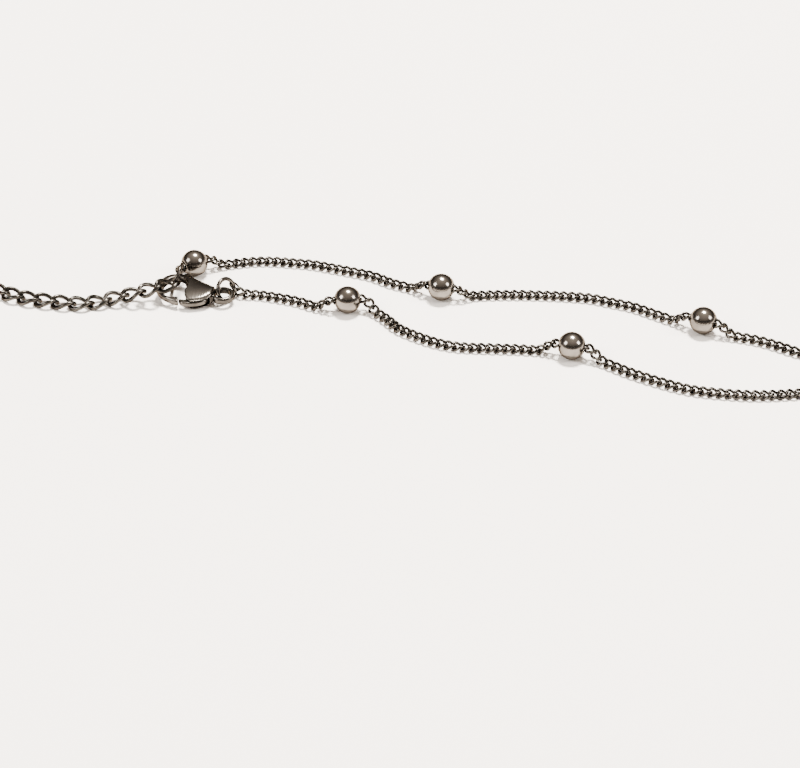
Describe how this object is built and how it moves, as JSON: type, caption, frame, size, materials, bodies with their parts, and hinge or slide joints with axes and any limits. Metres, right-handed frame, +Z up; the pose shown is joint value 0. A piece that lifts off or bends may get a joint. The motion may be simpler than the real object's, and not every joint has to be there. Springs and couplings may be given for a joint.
{
  "type": "anklet",
  "caption": "Polished steel anklet of fine curb chain with drilled balls threaded on it, closed by a sprung lobster clasp, with a short extension chain of wider curb links.",
  "frame": {"origin": "middle of the bottom of the whole anklet, on the surface it lies on", "axes": "+X from the free end of the extension chain to the far end of the loop, +Y across the loop away from the viewer, +Z up"},
  "size_m": [0.13, 0.0376, 0.0045],
  "materials": {
    "ball_steel": "mirror polished stainless steel",
    "clasp_steel": "polished stainless steel, slightly worn",
    "chain_steel": "polished stainless steel wire"
  },
  "bodies": {
    "anklet": {"clasp_body": "clasp_steel", "clasp_pin": "clasp_steel", "jump_ring": "chain_steel", "end_ring": "chain_steel", "front_end_link": "chain_steel", "back_end_link": "chain_steel", "fine_chain": "chain_steel", "bead_1": "ball_steel", "bead_2": "ball_steel", "bead_3": "ball_steel", "bead_4": "ball_steel", "bead_5": "ball_steel", "bead_6": "ball_steel", "extension_link_01": "chain_steel", "extension_link_02": "chain_steel", "extension_link_03": "chain_steel", "extension_link_04": "chain_steel", "extension_link_05": "chain_steel", "extension_link_06": "chain_steel", "extension_link_07": "chain_steel", "extension_link_08": "chain_steel", "extension_link_09": "chain_steel", "extension_link_10": "chain_steel", "extension_link_11": "chain_steel", "extension_link_12": "chain_steel"},
    "lever": {"clasp_lever": "clasp_steel"}
  },
  "joints": [
    {"name": "lever_hinge", "type": "hinge", "parent": "anklet", "child": "lever", "pos_m": [-0.03022, 0.00629, 0.00122], "axis": [0.0114, 0.0864, -0.9962], "range_deg": [0, 25], "stiffness_Nm_per_rad": 0.0005, "springref_deg": -11.46}
  ]
}
